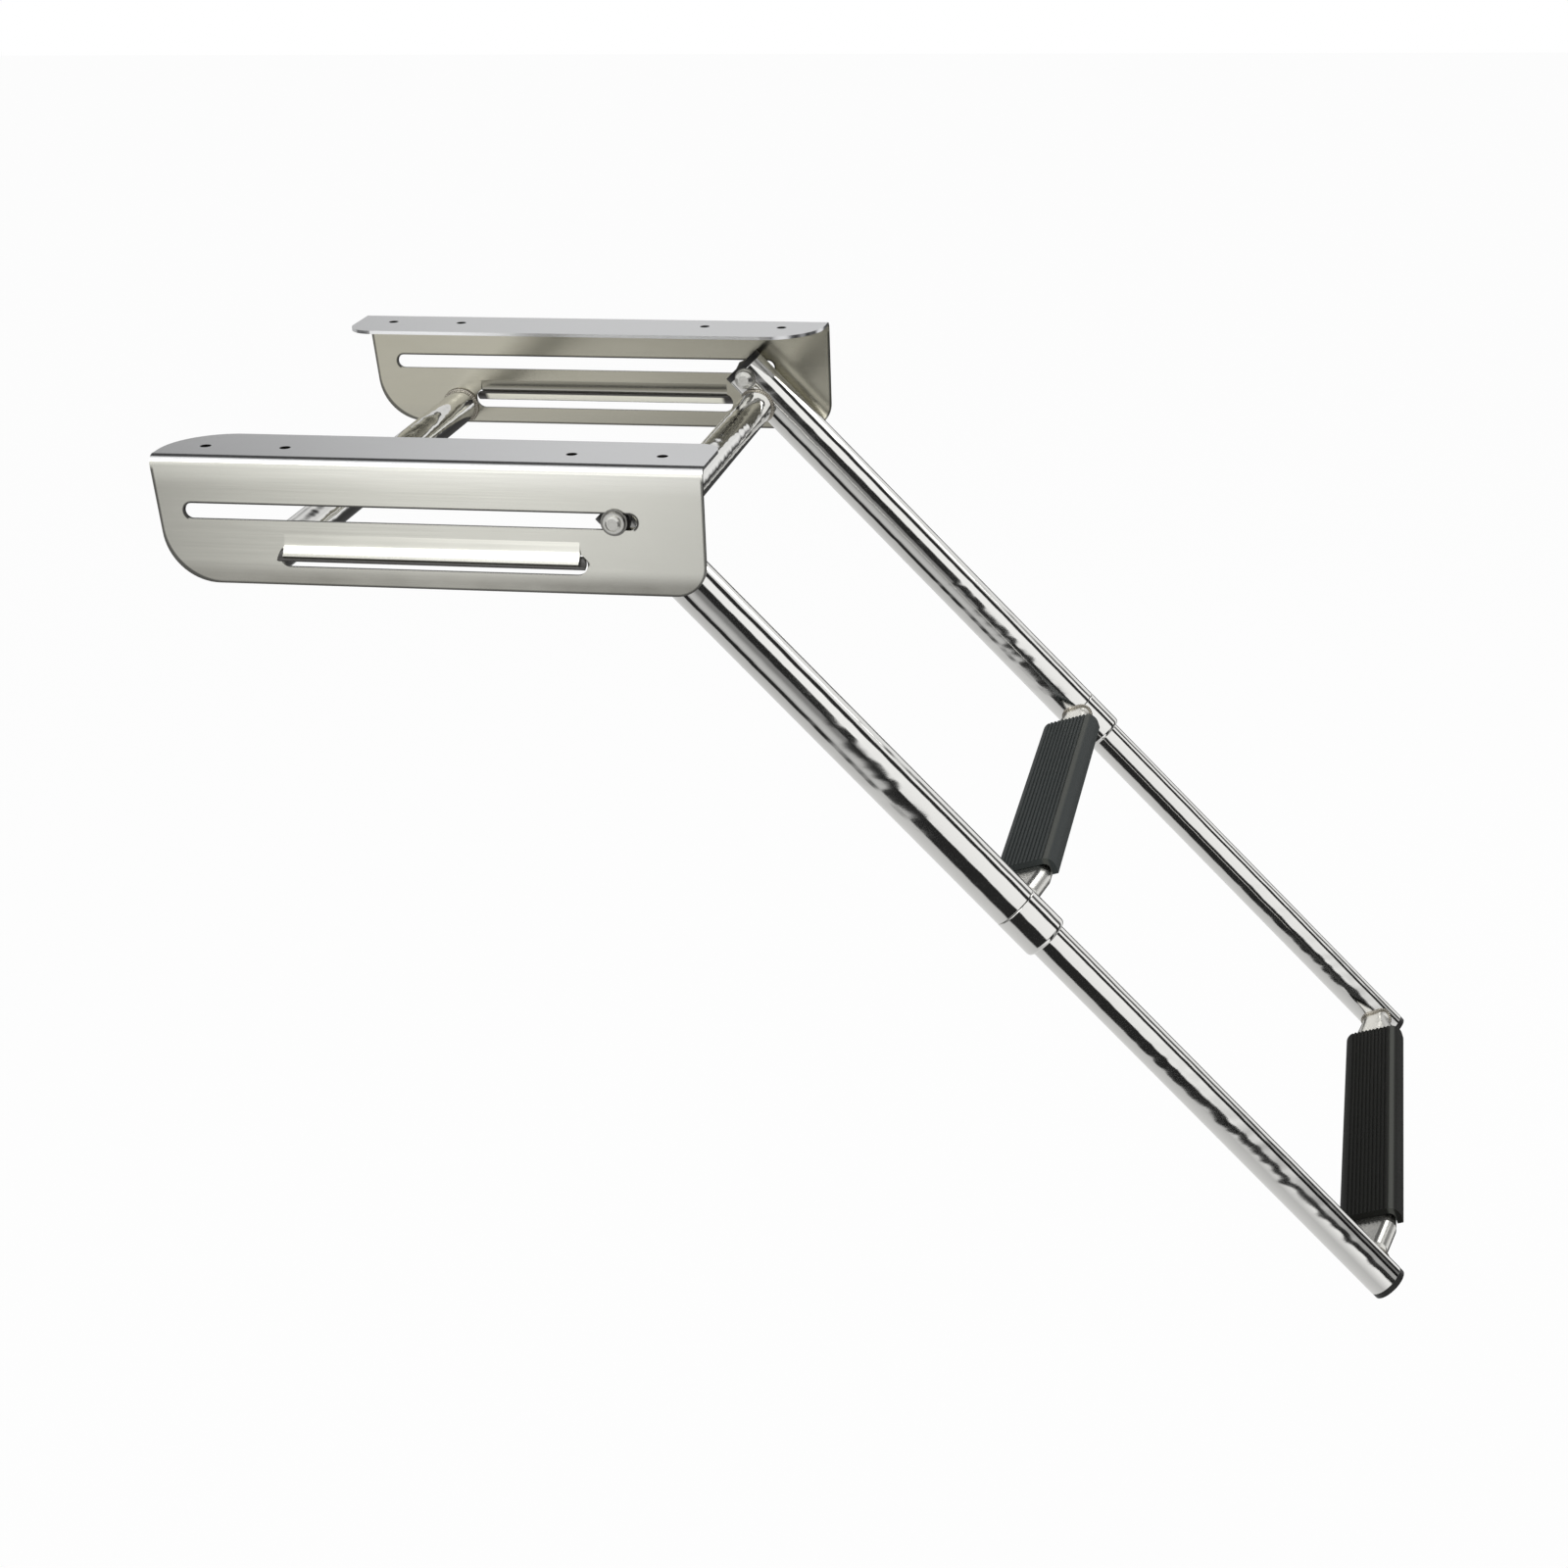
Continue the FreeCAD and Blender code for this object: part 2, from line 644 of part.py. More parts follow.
# Steps: an oval core with tapered, coped ends between the side tubes, and a moulded tread over it
STEPS = (
    ("upper", "upper_step_run", "outer_radius"),
    ("lower", "lower_step_run", "inner_radius"),
)
for name, run, tube_radius in STEPS:
    core = new_body(name + "_step_core")
    flank = "tube_inset + " + tube_radius
    stations = (
        ("tube_inset + 3", "core_end_half_width"),
        (flank + " + 4", "core_end_half_width"),
        (flank + " + core_taper", "core_half_width"),
        ("overall_width - (" + flank + ") - core_taper", "core_half_width"),
        ("overall_width - (" + flank + ") - 4", "core_end_half_width"),
        ("overall_width - tube_inset - 3", "core_end_half_width"),
    )
    join_rings(core, "AdditiveLoft", stations, "0")
    saddle = new_sketch(core, "YZ_Plane")
    for middle in ("tube_inset", "overall_width - tube_inset"):
        draw_circle(saddle, middle, "0", tube_radius)
    saddle.AttachmentOffset = FreeCAD.Placement(V(0, 0, 0), FreeCAD.Rotation(V(1, 0, 0), 1))
    saddle.setExpression("AttachmentOffset.Rotation.Angle", cell("hang_angle + step_tilt"))
    extrude(core, "Pocket", saddle, "120", both=True)
    join_rings(core, "SubtractiveLoft", stations, "core_wall")
    place_step(core, run)
    keep(core)

    tread = new_body(name + "_tread")
    under = "core_half_height + tread_seat"
    crown = under + " + tread_gauge"
    inside = "tread_half_width - tread_gauge"
    profile = new_sketch(tread, "XZ_Plane", "- tread_inset")
    draw_polygon(profile, [
        ("- tread_half_width", crown + " - tread_depth"),
        ("- (" + inside + ")", crown + " - tread_depth"),
        ("- (" + inside + ")", under),
        (inside, under),
        (inside, crown + " - tread_depth"),
        ("tread_half_width", crown + " - tread_depth"),
        ("tread_half_width", crown),
        ("- tread_half_width", crown),
    ])
    cap = extrude(tread, "Pad", profile, "overall_width - 2 * tread_inset", reverse=True)

    def lengthwise(edge, half, level):
        box = edge.BoundBox
        return box.YLength > 100 and near(abs(box.XMin), half) and near(box.ZMin, level)

    outer_round = round_edges(
        tread, cap, lambda e: lengthwise(e, SIZES["tread_half_width"], number(crown)), "tread_round")
    inner_round = round_edges(
        tread, outer_round, lambda e: lengthwise(e, number(inside), number(under)),
        "tread_round - tread_gauge")
    groove = new_sketch(tread, "XZ_Plane", "- tread_inset + 1")
    first = "- rib_pitch * ( rib_count - 1 ) / 2"
    draw_polygon(groove, [
        (first + " - rib_width / 2", crown + " - rib_depth"),
        (first + " + rib_width / 2", crown + " - rib_depth"),
        (first + " + rib_width / 2", crown + " + 1"),
        (first + " - rib_width / 2", crown + " + 1"),
    ])
    cut = extrude(tread, "Pocket", groove, "overall_width")
    doc.recompute()
    ribs = tread.newObject("PartDesign::LinearPattern", name + "_ribs")
    ribs.Originals = [cut]
    ribs.Direction = (groove, ["H_Axis"])
    ribs.setExpression("Length", cell("rib_pitch * ( rib_count - 1 )"))
    ribs.Occurrences = int(SIZES["rib_count"])
    ribs.setExpression("Occurrences", cell("rib_count"))
    tread.Tip = ribs
    place_step(tread, run)
    keep(tread)

doc.recompute()
for item in doc.Objects:
    if "Invalid" in item.State or "Error" in item.State:
        raise RuntimeError(item.Name + " " + str(item.State))

os.makedirs("parts", exist_ok=True)
for node in nodes:
    if not node.Shape.isValid():
        raise RuntimeError(node.Label + " is not valid")
    node.Shape.exportStep("parts/" + node.Label + ".step")
    box = node.Shape.BoundBox
    print(node.Label, round(node.Shape.Volume), len(node.Shape.Solids),
          [round(v, 1) for v in (box.XMin, box.XMax, box.YMin, box.YMax, box.ZMin, box.ZMax)])
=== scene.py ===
import math

import bpy
import numpy as np
from mathutils import Matrix, Vector


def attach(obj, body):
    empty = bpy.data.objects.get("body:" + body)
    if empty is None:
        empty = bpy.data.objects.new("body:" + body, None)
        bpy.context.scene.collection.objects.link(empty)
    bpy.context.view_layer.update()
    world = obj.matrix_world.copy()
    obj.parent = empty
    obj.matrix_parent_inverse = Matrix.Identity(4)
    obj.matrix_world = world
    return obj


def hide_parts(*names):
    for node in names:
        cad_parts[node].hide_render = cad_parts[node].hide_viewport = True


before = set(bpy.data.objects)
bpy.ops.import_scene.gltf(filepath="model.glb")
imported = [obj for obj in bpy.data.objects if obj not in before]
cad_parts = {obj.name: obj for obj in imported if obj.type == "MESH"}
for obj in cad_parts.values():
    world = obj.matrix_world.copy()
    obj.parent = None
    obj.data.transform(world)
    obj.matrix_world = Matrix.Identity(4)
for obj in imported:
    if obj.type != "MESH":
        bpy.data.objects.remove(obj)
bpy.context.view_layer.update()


# Brackets. Two mirror-image angle sections of 2.5 mm stainless sheet, satin finished with the
# grain running lengthwise, screwed up under the platform. Both are CAD pieces; here they get
# their brushed finish with a dull bloom, and painted light: a painted highlight on the outer face,
# painted shade on the inner face, and a painted shadow of the ledge along the lower web.


class Wire:
    """The output of a shader node, so that shader maths reads as plain arithmetic."""

    def __init__(self, tree, socket=None):
        self.tree = tree
        self.socket = socket

    def node(self, kind, settings=None, sockets=None, out=0):
        """A node of that kind: first its settings, then its sockets get values or wires."""
        made = self.tree.nodes.new(kind)
        for name, value in (settings or {}).items():
            if name == "stops":
                ramp = made.color_ramp
                while len(ramp.elements) < len(value):
                    ramp.elements.new(0.5)
                for element, (place, shade) in zip(ramp.elements, value):
                    element.position = place
                    element.color = tuple(shade) + (1.0,)
            else:
                setattr(made, name, value)
        for key, value in (sockets or {}).items():
            if isinstance(value, Wire):
                self.tree.links.new(value.socket, made.inputs[key])
            else:
                made.inputs[key].default_value = value
        return Wire(self.tree, made.outputs[out])

    def maths(self, operation, *others):
        """A Math node on this wire and the others."""
        return self.node("ShaderNodeMath", {"operation": operation},
                         dict(enumerate((self,) + others)))

    def __add__(self, other):
        return self.maths("ADD", other)

    def __sub__(self, other):
        return self.maths("SUBTRACT", other)

    def __rsub__(self, other):
        return self.node("ShaderNodeMath", {"operation": "SUBTRACT"}, {0: other, 1: self})

    def __mul__(self, other):
        return self.maths("MULTIPLY", other)

    def __abs__(self):
        return self.maths("ABSOLUTE")

    __radd__ = __add__
    __rmul__ = __mul__

    def at_least(self, other):
        """The greater of this wire and the other."""
        return self.maths("MAXIMUM", other)

    def at_most(self, other):
        """The lesser of this wire and the other."""
        return self.maths("MINIMUM", other)

    def distance(self, other):
        """The square root of this wire squared and the other squared."""
        return (self * self + other * other).maths("SQRT")

    def part(self, axis):
        """One part of a vector, by its axis."""
        return self.node("ShaderNodeSeparateXYZ", {}, {0: self}, out=axis)

    def along(self, direction):
        """How far a vector runs along a fixed direction."""
        return self.node("ShaderNodeVectorMath", {"operation": "DOT_PRODUCT"},
                         {0: self, 1: tuple(direction)}, out="Value")

    def step(self, low, high):
        """0 below low and 1 above high, with a smooth rise between them."""
        return self.node("ShaderNodeMapRange", {"interpolation_type": "SMOOTHSTEP"},
                         {0: self, 1: low, 2: high, 3: 0.0, 4: 1.0})

    def blend(self, first, second):
        """The colour first where the wire is 0 and second where it is 1."""
        def full(colour):
            return colour if isinstance(colour, Wire) else tuple(colour) + (1.0,)
        return self.node("ShaderNodeMix", {"data_type": "RGBA"},
                         {0: self, 6: full(first), 7: full(second)}, out=2)


def new_finish(name, **fixed):
    """A material with a Principled shader: returns it, a wire to start from, and the shader."""
    finish = bpy.data.materials.new(name)
    finish.use_nodes = True
    tree = finish.node_tree
    shader = [n for n in tree.nodes if n.type == "BSDF_PRINCIPLED"][0]
    for socket, value in fixed.items():
        shader.inputs[socket.replace("_", " ")].default_value = value
    return finish, Wire(tree), shader


def feed(shader, start, **wires):
    """Link wires to the shader's sockets by name."""
    for socket, wire in wires.items():
        start.tree.links.new(wire.socket, shader.inputs[socket.replace("_", " ")])


def place_of(start, turn=(0.0, 0.0, 0.0), scale=(1.0, 1.0, 1.0)):
    """The point on the piece in metres, turned and stretched to suit a pattern."""
    point = start.node("ShaderNodeTexCoord", out="Object")
    return start.node("ShaderNodeMapping", {}, {0: point, 2: turn, 3: scale})


def cloud(point, scale, detail=3.0, rough=0.5):
    """Noise of that many lumps to the metre, from 0 to 1 about a half."""
    return point.node("ShaderNodeTexNoise", {}, {"Vector": point, "Scale": scale, "Detail": detail,
                                                 "Roughness": rough}, out="Fac")


def relief(height, depth, under=None):
    """A bump of that height wire, whose full range is depth metres deep."""
    sockets = {"Height": height, "Distance": depth, "Strength": 1.0}
    if under is not None:
        sockets["Normal"] = under
    return height.node("ShaderNodeBump", {}, sockets)


def dress(finish, *names):
    """Give CAD nodes one finish."""
    for name in names:
        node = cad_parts[name]
        node.data.materials.clear()
        node.data.materials.append(finish)


MIDDLE = 0.181                               # halfway across, between the two brackets
HALF_LENGTH, WEB_FOOT = 0.1815, -0.084       # a web's ends and its lower edge
HOLE_LINE = 0.184                            # the screw holes' line, from the middle
HOLE_RUNS = (-0.1534, -0.0994, 0.0912, 0.1501)
SLOT_CENTRE, SLOT_REACH, SLOT_HEIGHT = -0.0113, 0.1446, -0.0362

satin, start, shader = new_finish("satin_sheet", Metallic=1.0)
point = place_of(start)
ahead, sideways, height = (point.part(axis) for axis in "XYZ")
grain = cloud(place_of(start, scale=(14.0, 1500.0, 1500.0)), 1.0, 3.0, 0.6)
bloom = cloud(place_of(start, scale=(16.0, 16.0, 40.0)), 1.0, 3.0, 0.55)
tone = (grain - 0.5) * 0.35 + (bloom - 0.5) * 0.5 + 0.5

# A web's outer face is painted brighter forwards and under the bend, a painted highlight; its
# inner face is painted duller, a painted shade, and the strip below the ledge darkens towards the
# bottom, a painted shadow of the ledge. The far bracket is folded onto the near one.
off_line = abs(sideways - MIDDLE) - HOLE_LINE
inside = 1.0 - off_line.step(0.0243, 0.0253)
# Painted shadow of the ledge: the lower web darkens towards the bottom, mottled by the bloom.
flap_shadow = (1.0 - height.step(-0.080, -0.067)) * (0.35 + bloom * 0.8)
onward = (ahead + (bloom - 0.5) * 0.16).step(-0.26, 0.20)
# Painted highlight: the outer face is brighter forwards and under the bend.
outer = height.step(-0.022, -0.007).blend(
    onward.blend((0.50, 0.495, 0.445), (0.86, 0.855, 0.785)),
    onward.blend((0.72, 0.715, 0.65), (0.99, 0.985, 0.92)))
# Painted shade: the inner face is duller than the outer.
web = inside.blend(outer, tone.blend((0.30, 0.29, 0.23), (0.56, 0.54, 0.46)))
web = (flap_shadow * (1.0 - inside * 0.7)).blend(web, (0.33, 0.32, 0.285))

# Its sheared walls are painted dark by their facing, a painted shade, and a thin rim inside its
# outline is painted dark, a painted reflection of the dark floor. How far a point lies inside the
# outline is c less the distance that max(c - inset, 0) makes both ways, where c is the rounding
# of the lower corner, 36 or 20 mm. The rear end leans forward by 1 in 12.
faced = start.node("ShaderNodeNewGeometry", out="Normal").part("Y")
wall_shade = (1.0 - abs(faced).step(0.15, 0.40)) * (1.0 - height.step(-0.0094, -0.0089))
insets = []
for from_end, corner in ((ahead + height * (1 / 12) + HALF_LENGTH, 0.036),
                         (HALF_LENGTH - ahead, 0.020)):
    upward, endward = ((corner - inset).at_least(0.0) for inset in (height - WEB_FOOT, from_end))
    insets.append(corner - upward.distance(endward))
edge_reflection = 1.0 - insets[0].at_most(insets[1]).step(0.0007, 0.0019)
edge_reflection = edge_reflection * (1.0 - height.step(-0.0094, -0.0060))
# Painted shade on the walls and painted dark reflection along the outline.
web = (wall_shade.at_least(edge_reflection) * 0.8).blend(web, (0.05, 0.05, 0.048))
flange = height.step(-0.0045, -0.0015)
sheet = flange.blend(web, tone.blend((0.74, 0.745, 0.755), (0.87, 0.875, 0.885)))

# The drilled walls of the screw holes are painted dark, a painted shade in the holes, by the
# distance from the nearest hole's axis. The slot's punched rim is painted darker along its top and
# round its ends, a painted shade, by the distance from the line that joins its two end centres.
beyond = [(ahead - run).distance(off_line) for run in HOLE_RUNS]
beyond = beyond[0].at_most(beyond[1]).at_most(beyond[2]).at_most(beyond[3])
hole_shade = 1.0 - beyond.step(0.0034, 0.0040)
past_end = (abs(ahead - SLOT_CENTRE) - SLOT_REACH).at_least(0.0)
off_centre = height - SLOT_HEIGHT
slot_rim_shade = 1.0 - past_end.distance(off_centre).step(0.0058, 0.0069)
slot_rim_shade = slot_rim_shade * (off_centre + past_end * 2.0).step(-0.001, 0.002)
# The dark holes and slot rim are painted shade.
feed(shader, start,
     Base_Color=hole_shade.at_least(slot_rim_shade * 0.95).blend(sheet, (0.035, 0.034, 0.032)),
     Roughness=(grain - 0.5) * 0.10 + (bloom - 0.5) * 0.05 + 0.21,
     Normal=relief(grain, 0.000005))
dress(satin, "near_bracket", "far_bracket")


# Polished tubes. Stainless side tubes and cross tubes, mirror polished along their length, which
# leaves the wall very slightly wavy. They are turned surfaces here, with the CAD pieces' sizes,
# so that the reflections run smoothly round them.

HANG = math.radians(46.34)
ALONG = np.array([math.cos(HANG), 0.0, -math.sin(HANG)])
SQUARE = np.array([math.sin(HANG), 0.0, math.cos(HANG)])
ACROSS = np.array([0.0, 1.0, 0.0])
PIVOT = np.array([0.1238, 0.0, SLOT_HEIGHT])
# name, which way is inward, and where the side tube's axis lies
SIDES = (("near", 1, -0.0065), ("far", -1, 0.3685))
OUTER, INNER = 0.015875, 0.0127              # radius of the two sizes of tube
ROUND = 128                                  # points round a side tube


def mesh_of(name, points, faces, body, finish):
    """A smooth mesh piece with one finish, riding on a body."""
    data = bpy.data.meshes.new(name)
    data.from_pydata(points.reshape(-1, 3).tolist(), [], faces.tolist())
    data.polygons.foreach_set("use_smooth", np.ones(len(data.polygons), bool))
    data.materials.append(finish)
    piece = bpy.data.objects.new(name, data)
    bpy.context.collection.objects.link(piece)
    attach(piece, body)
    return piece


def grid_faces(rows, columns, close_rows=False):
    """Four-sided faces of a grid of points, closed round its columns, and its rows when asked."""
    i = np.arange(rows if close_rows else rows - 1)[:, None]
    j = np.arange(columns)[None, :]
    k, m = (i + 1) % rows, (j + 1) % columns
    return np.stack([i * columns + j, i * columns + m, k * columns + m, k * columns + j],
                    axis=-1).reshape(-1, 4)


def turned(profile, origin, axis, count=ROUND):
    """Points of a surface turned about an axis: origin + axis * run + radius * (cos a, sin a)."""
    side = np.cross(ACROSS if abs(axis[1]) < 0.5 else np.array([1.0, 0.0, 0.0]), axis)
    other = np.cross(axis, side)
    run, radius = np.array(profile).T
    a = np.linspace(0.0, 2 * math.pi, count, endpoint=False)
    ring = np.cos(a)[:, None] * side + np.sin(a)[:, None] * other
    return origin + run[:, None, None] * axis + radius[:, None, None] * ring[None, :, :]


def rounded(corners, steps=5):
    """A closed profile whose corners are given as (run, radius, easing). Each is cut to the arc
    corner + (1 - t)^2 a + t^2 b, where a and b are the easing towards the corners before and
    after, with a point on the flat at both sides of it, so that the long walls shade as flat."""
    made = []
    for i, (run, radius, easing) in enumerate(corners):
        here = np.array([run, radius])
        before = np.array(corners[i - 1][:2]) - here
        after = np.array(corners[(i + 1) % len(corners)][:2]) - here
        t = np.linspace(0.0, 1.0, steps)[:, None]
        a = before / np.linalg.norm(before) * easing
        b = after / np.linalg.norm(after) * easing
        arc = here + (1 - t) ** 2 * a + t ** 2 * b
        made.append(np.vstack([here + 1.3 * a, arc, here + 1.3 * b]))
    made = np.vstack(made)
    return np.vstack([made, made[:1]])


polish, start, shader = new_finish("mirror_polish", Metallic=1.0)
down_tube = (0.0, -HANG, 0.0)
wave = cloud(place_of(start, turn=down_tube, scale=(6.0, 75.0, 75.0)), 1.0, 1.0, 0.4)
hairline = cloud(place_of(start, turn=down_tube, scale=(30.0, 1600.0, 1600.0)), 1.0, 3.0, 0.6)
film = cloud(place_of(start, scale=(14.0, 14.0, 14.0)), 1.0, 3.0, 0.5)
feed(shader, start,
     Base_Color=film.blend((0.82, 0.815, 0.79), (0.91, 0.905, 0.88)),
     Roughness=(hairline - 0.5) * 0.05 + (film - 0.5) * 0.04 + 0.065,
     Normal=relief(wave, 0.00030, relief(hairline, 0.000004)))

# Run and radius of each corner down the tube from the pivot, and its easing, in metres.
TUBE_SHAPES = {
    "outer_tube": [(-0.0050, 0.0143, 0.0002), (-0.0050, OUTER, 0.0003),
                   (0.358, OUTER, 0.0003), (0.358, 0.0143, 0.0002)],
    "collar": [(0.342, 0.0128, 0.0002), (0.342, 0.0142, 0.0002), (0.3581, 0.0142, 0.0002),
               (0.3585, 0.01596, 0.0005), (0.388, 0.01596, 0.0026), (0.388, 0.0128, 0.0004)],
    "inner_tube": [(0.318, 0.0112, 0.0002), (0.318, INNER, 0.0002),
                   (0.714, INNER, 0.0003), (0.714, 0.0112, 0.0002)],
}
for side, inward, axis_at in SIDES:
    for kind, corners in TUBE_SHAPES.items():
        profile = rounded(corners)
        points = turned(profile, PIVOT + ACROSS * axis_at, ALONG)
        body = "lower_ladder" if kind == "inner_tube" else "upper_ladder"
        piece = mesh_of("polished_%s_%s" % (side, kind), points,
                        grid_faces(len(profile), ROUND), body, polish)
        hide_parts("%s_%s" % (side, kind))

# The tie tube joins the brackets and the cross tube the side tubes. The cross tube's ends are
# coped to the side tubes' round walls: they stop at sqrt(r2 - n2) from the side tube's axis, less
# 0.8 mm, which is inside its wall.
RUNG_ROUND = 96
RUNG = [(0.0, 0.0112, 0.0001), (0.0, INNER, 0.0001), (1.0, INNER, 0.0001), (1.0, 0.0112, 0.0001)]
CROSS_CENTRE = PIVOT + ALONG * 0.021 - SQUARE * 0.010
TIE_RUN, TIE_HEIGHT = -0.1125, -0.0713
for name, node, origin, length, body in (
        ("polished_tie_tube", "tie_tube",
         np.array([TIE_RUN, -0.0265, TIE_HEIGHT]), 0.415, "brackets"),
        ("polished_cross_tube", "top_cross_tube",
         CROSS_CENTRE + ACROSS * 0.0065, 0.349, "upper_ladder")):
    corners = [(length * run, radius, easing) for run, radius, easing in RUNG]
    points = turned(rounded(corners), origin, ACROSS, RUNG_ROUND)
    if node == "top_cross_tube":
        off = (points - PIVOT) @ SQUARE
        depth = np.sqrt(np.maximum(0.0159 ** 2 - off ** 2, 0.0)) - 0.0008
        depth = np.maximum(depth, 0.0123)
        share = (points[..., 1] - origin[1]) / length
        near_end, far_end = SIDES[0][2] + depth, SIDES[1][2] - depth
        points[..., 1] = near_end * (1 - share) + far_end * share
    piece = mesh_of(name, points, grid_faces(len(points), RUNG_ROUND), body, polish)
    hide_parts(node)


# Weld beads. Each cross member is welded all round to what carries it, and the cleaned beads
# show as fine overlapping ripples with a faint straw tint, on a colour darkened as painted shade
# for the shadow line round each joint.

weld, start, shader = new_finish("weld_bead", Metallic=1.0)
ripple = cloud(place_of(start), 420.0, 3.0, 0.6)
tint_and_shade = cloud(place_of(start), 60.0, 2.0, 0.5)
feed(shader, start,
     # Straw tint, darkened as painted shade for the shadow line round the joint.
     Base_Color=tint_and_shade.blend((0.22, 0.20, 0.165), (0.50, 0.47, 0.41)),
     Roughness=(ripple - 0.5) * 0.2 + 0.26,
     Normal=relief(ripple, 0.0002))

CREST_PITCH = 0.0016
BEAD_ROUND = 10


def bead(name, path, radius, body, closed=True):
    """A rippled bead: a circle of radius * (1 + 0.22 |sin|) swept along the path, one crest to a
    pitch. An open one thins to nothing at both ends and is capped there."""
    count = len(path)
    ahead = np.roll(path, -1, axis=0) - np.roll(path, 1, axis=0)
    if not closed:
        ahead[0], ahead[-1] = path[1] - path[0], path[-1] - path[-2]
    ahead /= np.linalg.norm(ahead, axis=1)[:, None]
    span = np.linalg.norm(np.diff(path, axis=0, append=path[:1]), axis=1)
    run = np.concatenate([[0.0], np.cumsum(span)[:-1]])
    crests = max(4, round(run[-1] / CREST_PITCH))
    swell = 1 + 0.22 * np.abs(np.sin(math.pi * crests * run / (run[-1] + span[-1] * closed)))
    if not closed:
        from_end = np.minimum(run, run[-1] - run)
        swell = swell * np.clip(from_end / (2 * radius) + 0.12, 0.0, 1.0) ** 0.5
    side = np.cross(ahead, ACROSS)
    side /= np.linalg.norm(side, axis=1)[:, None]
    up = np.cross(side, ahead)
    a = np.linspace(0.0, 2 * math.pi, BEAD_ROUND, endpoint=False)[None, :, None]
    ring = np.cos(a) * side[:, None, :] + np.sin(a) * up[:, None, :]
    points = path[:, None, :] + radius * swell[:, None, None] * ring
    faces = grid_faces(count, BEAD_ROUND, close_rows=closed)
    if not closed:
        caps = np.array([[0, i, i + 1, i + 1] for i in range(1, BEAD_ROUND - 1)])
        faces = np.vstack([faces, caps[:, ::-1], caps + (count - 1) * BEAD_ROUND])
    return mesh_of(name, points, faces, body, weld)


def seam_on_tube(centre, outline, radius, axis_at, inward):
    """Where a cross member of that outline meets a side tube: y = axis_at +- sqrt(r2 - n2)."""
    points = centre + outline
    off = (points - PIVOT) @ SQUARE
    points[:, 1] = axis_at + inward * np.sqrt(np.maximum(radius ** 2 - off ** 2, 0.0))
    return points


TIE_FACES = {"near": -0.0265, "far": 0.3885}  # where the tie tube's ends meet the brackets
for side, inward, axis_at in SIDES:
    arc = np.linspace(math.radians(-56), math.radians(236), 150)
    ring = np.stack([0.0131 * np.cos(arc) + TIE_RUN,
                     np.full_like(arc, TIE_FACES[side] + inward * 0.0006),
                     0.0131 * np.sin(arc) + TIE_HEIGHT], axis=1)
    bead("weld_tie_%s" % side, ring, 0.0013, "brackets", closed=False)

for side, inward, axis_at in SIDES:
    arc = np.linspace(math.radians(-26), math.radians(206), 140)
    outline = 0.0129 * (np.cos(arc)[:, None] * ALONG + np.sin(arc)[:, None] * SQUARE)
    seam = seam_on_tube(CROSS_CENTRE, outline, 0.0161, axis_at, inward)
    bead("weld_cross_%s" % side, seam, 0.0012, "upper_ladder", closed=False)


# Step cores. Flattened stainless tubes whose ends are squeezed narrower and welded to the side
# tubes; the squeeze leaves a soft crease, and the finish there is a little duller.

TILT = math.radians(17.0)
DEEP = np.array([math.cos(TILT), 0.0, math.sin(TILT)])
HIGH = np.array([-math.sin(TILT), 0.0, math.cos(TILT)])
STEP_RUNS = {"upper": 0.361, "lower": 0.700}  # how far down the tubes from the pivot

worked, start, shader = new_finish("worked_steel", Metallic=1.0)
film = cloud(place_of(start, scale=(40.0, 18.0, 40.0)), 1.0, 3.0, 0.55)
feed(shader, start,
     Base_Color=film.blend((0.72, 0.71, 0.67), (0.90, 0.89, 0.85)),
     Roughness=(film - 0.5) * 0.12 + 0.24,
     Normal=relief(film, 0.00030))


def flat_outline(half_width, half_height, count):
    """Points round a flattened tube as (deep, high) pairs: (h cos a + (w - h) tanh(6 cos a),
    h sin a), which is half circles joined by flats."""
    a = np.linspace(0.0, 2 * math.pi, count, endpoint=False)
    reach = half_width - half_height
    deep = half_height * np.cos(a) + reach * np.tanh(np.cos(a) * 6.0)
    return np.stack([deep, half_height * np.sin(a)], axis=1)


pairs = flat_outline(0.0107, 0.0082, 150)
outline = pairs[:, :1] * DEEP + pairs[:, 1:] * HIGH
for step_name, radius in (("upper", OUTER), ("lower", INNER)):
    centre = PIVOT + ALONG * STEP_RUNS[step_name]
    for side, inward, axis_at in SIDES:
        seam = seam_on_tube(centre, outline, radius + 0.0002, axis_at, inward)
        bead("weld_%s_step_%s" % (step_name, side), seam, 0.0010, step_name + "_ladder")
dress(worked, "upper_step_core", "lower_step_core")


# Treads. Black moulded plastic channels that clip over the step cores, with fine lengthwise
# ribs for grip. The nosing carries a painted highlight, a paler stripe along its rounding, and the
# upper tread is painted paler than the lower, lit and shaded copies of one plastic.

